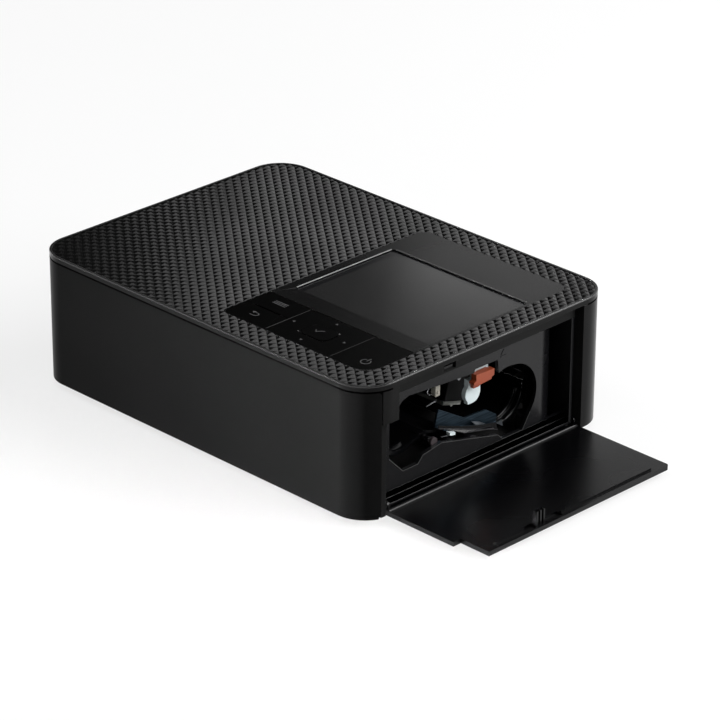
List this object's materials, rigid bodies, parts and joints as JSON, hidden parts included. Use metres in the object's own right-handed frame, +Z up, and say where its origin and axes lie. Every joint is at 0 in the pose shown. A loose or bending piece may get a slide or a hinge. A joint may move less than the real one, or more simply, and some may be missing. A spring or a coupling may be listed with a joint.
{
  "type": "compact photo printer",
  "caption": "Flat black desktop photo printer with a textured top, key panel and display, a hinged front cover and an open side door onto its ink cartridge bay.",
  "frame": {"origin": "middle of the footprint with the side door lying open, on the table plane under the feet", "axes": "+X to the side with the ink door, +Y to the back, +Z up; the front cover faces -Y"},
  "size_m": [0.2276, 0.133, 0.0576],
  "materials": {
    "black_abs": "fine spark-eroded matte",
    "panel_black": "smooth satin",
    "key_black": "smooth satin",
    "window_smoke": "clear hard-coated window over the display",
    "display_grey": "liquid crystal panel, switched off",
    "silicone": "moulded silicone",
    "circuit_board": "solder mask over glass fibre",
    "chip_black": "moulded epoxy",
    "frame_black": "matte",
    "tray_black": "smooth",
    "zinc_steel": "zinc-plated sheet",
    "bright_steel": "ground",
    "blued_steel": "blue-black",
    "orange_abs": "satin",
    "white_acetal": "satin",
    "ivory_acetal": "satin",
    "grey_acetal": "satin",
    "head_resin": "glass-filled, matte",
    "extruded_aluminium": "plain",
    "head_ceramic": "glazed ceramic",
    "roller_rubber": "ground rubber",
    "foot_rubber": "moulded rubber",
    "pinion_brass": "cut brass"
  },
  "bodies": {
    "case": {"lower_case": "black_abs", "top_cover": "black_abs", "control_panel": "panel_black", "lcd_window": "window_smoke", "lcd_module": "display_grey", "key_domes": "silicone", "key_board": "circuit_board", "bay_frame": "frame_black", "front_frame": "frame_black", "left_plate": "zinc_steel", "gear_plate": "zinc_steel", "takeup_tray": "tray_black", "supply_tray": "tray_black", "lever_spring": "bright_steel", "ribbon_guide": "blued_steel", "ribbon_sensor": "ivory_acetal", "locating_pin": "grey_acetal", "idler_pin": "bright_steel", "feed_motor": "zinc_steel", "ribbon_motor": "zinc_steel", "main_board": "circuit_board", "board_parts": "chip_black", "card_slot": "zinc_steel", "usb_port": "zinc_steel", "dc_inlet": "frame_black", "terminal_cover": "black_abs", "rubber_feet": "foot_rubber", "case_screws": "bright_steel"},
    "front_cover": {"front_cover": "black_abs", "cover_pins": "bright_steel"},
    "cartridge_door": {"cartridge_door": "black_abs", "door_pins": "bright_steel"},
    "power_key": {"power_key": "key_black"},
    "menu_key": {"menu_key": "key_black"},
    "back_key": {"back_key": "key_black"},
    "ok_key": {"ok_key": "key_black"},
    "nav_pivot": {"nav_pivot": "frame_black"},
    "nav_pad": {"nav_pad": "key_black"},
    "eject_lever": {"eject_lever": "orange_abs", "latch_arm": "white_acetal"},
    "print_head": {"head_bracket": "head_resin", "heat_sink": "extruded_aluminium", "print_head": "head_ceramic", "head_pins": "bright_steel"},
    "platen": {"platen_shaft": "bright_steel", "platen_sleeve": "roller_rubber"},
    "capstan": {"capstan_shaft": "bright_steel", "capstan_gear": "ivory_acetal"},
    "pinch_rollers": {"pinch_rollers": "roller_rubber"},
    "pickup_arm": {"pickup_arm": "frame_black"},
    "pickup_roller": {"pickup_roller": "roller_rubber"},
    "idler_gear": {"idler_gear": "ivory_acetal"},
    "feed_pinion": {"feed_pinion": "pinion_brass"},
    "ribbon_pinion": {"ribbon_pinion": "pinion_brass"},
    "takeup_hub": {"takeup_hub": "ivory_acetal"},
    "supply_hub": {"supply_hub": "ivory_acetal"}
  },
  "joints": [
    {"name": "cover_hinge", "type": "hinge", "parent": "case", "child": "front_cover", "pos_m": [-0.0227, -0.0629, 0.0062], "axis": [1, 0, 0], "range_deg": [0, 90]},
    {"name": "door_hinge", "type": "hinge", "parent": "case", "child": "cartridge_door", "pos_m": [0.0648, 0, 0.0062], "axis": [0, -1, 0], "range_deg": [0, 90]},
    {"name": "power_key_press", "type": "slide", "parent": "case", "child": "power_key", "axis": [0, 0, -1], "range_m": [0, 0.00035], "stiffness_N_per_m": 1500, "springref_m": -0.0003},
    {"name": "menu_key_press", "type": "slide", "parent": "case", "child": "menu_key", "axis": [0, 0, -1], "range_m": [0, 0.00035], "stiffness_N_per_m": 1500, "springref_m": -0.0003},
    {"name": "back_key_press", "type": "slide", "parent": "case", "child": "back_key", "axis": [0, 0, -1], "range_m": [0, 0.00035], "stiffness_N_per_m": 1500, "springref_m": -0.0003},
    {"name": "ok_key_press", "type": "slide", "parent": "case", "child": "ok_key", "axis": [0, 0, -1], "range_m": [0, 0.00035], "stiffness_N_per_m": 1500, "springref_m": -0.0003},
    {"name": "nav_tilt_side", "type": "hinge", "parent": "case", "child": "nav_pivot", "pos_m": [0.0194, -0.0415, 0.0555], "axis": [0, 1, 0], "range_deg": [-1, 1], "stiffness_Nm_per_rad": 0.4},
    {"name": "nav_tilt_front", "type": "hinge", "parent": "nav_pivot", "child": "nav_pad", "pos_m": [0.0194, -0.0415, 0.0555], "axis": [1, 0, 0], "range_deg": [-1, 1], "stiffness_Nm_per_rad": 0.4},
    {"name": "lever_lift", "type": "slide", "parent": "case", "child": "eject_lever", "axis": [0, 0, 1], "range_m": [0, 0.0018], "stiffness_N_per_m": 300, "springref_m": -0.002, "deforming": ["lever_spring"]},
    {"name": "head_lower", "type": "slide", "parent": "case", "child": "print_head", "axis": [0, -0.2756, -0.9613], "range_m": [0, 0.0045]},
    {"name": "platen_spin", "type": "hinge", "parent": "case", "child": "platen", "pos_m": [-0.0227, -0.00143, 0.0122], "axis": [1, 0, 0], "continuous": true},
    {"name": "capstan_spin", "type": "hinge", "parent": "case", "child": "capstan", "pos_m": [-0.0227, 0.042, 0.012], "axis": [1, 0, 0], "continuous": true},
    {"name": "pinch_spin", "type": "hinge", "parent": "case", "child": "pinch_rollers", "pos_m": [-0.0227, 0.042, 0.01835], "axis": [1, 0, 0], "continuous": true},
    {"name": "pickup_swing", "type": "hinge", "parent": "case", "child": "pickup_arm", "pos_m": [-0.0227, -0.0128, 0.0156], "axis": [1, 0, 0], "range_deg": [-15, 0]},
    {"name": "pickup_spin", "type": "hinge", "parent": "pickup_arm", "child": "pickup_roller", "pos_m": [-0.0227, -0.0175, 0.0109], "axis": [1, 0, 0], "continuous": true},
    {"name": "idler_spin", "type": "hinge", "parent": "case", "child": "idler_gear", "pos_m": [-0.0227, 0.04313, 0.02816], "axis": [1, 0, 0], "continuous": true},
    {"name": "feed_pinion_spin", "type": "hinge", "parent": "case", "child": "feed_pinion", "pos_m": [-0.0227, 0.03467, 0.03981], "axis": [1, 0, 0], "continuous": true},
    {"name": "takeup_spin", "type": "hinge", "parent": "case", "child": "takeup_hub", "pos_m": [-0.0227, -0.0345, 0.0305], "axis": [1, 0, 0], "continuous": true},
    {"name": "ribbon_pinion_spin", "type": "hinge", "parent": "case", "child": "ribbon_pinion", "pos_m": [-0.0227, -0.02447, 0.04245], "axis": [1, 0, 0], "continuous": true},
    {"name": "supply_spin", "type": "hinge", "parent": "case", "child": "supply_hub", "pos_m": [-0.0227, 0.02, 0.0232], "axis": [1, 0, 0], "continuous": true}
  ],
  "couplings": [
    {"joint": "idler_spin", "follows": "capstan_spin", "ratio": -0.5},
    {"joint": "feed_pinion_spin", "follows": "capstan_spin", "ratio": 1.5},
    {"joint": "pinch_spin", "follows": "capstan_spin", "ratio": -0.71429},
    {"joint": "ribbon_pinion_spin", "follows": "takeup_spin", "ratio": -3.3333}
  ]
}
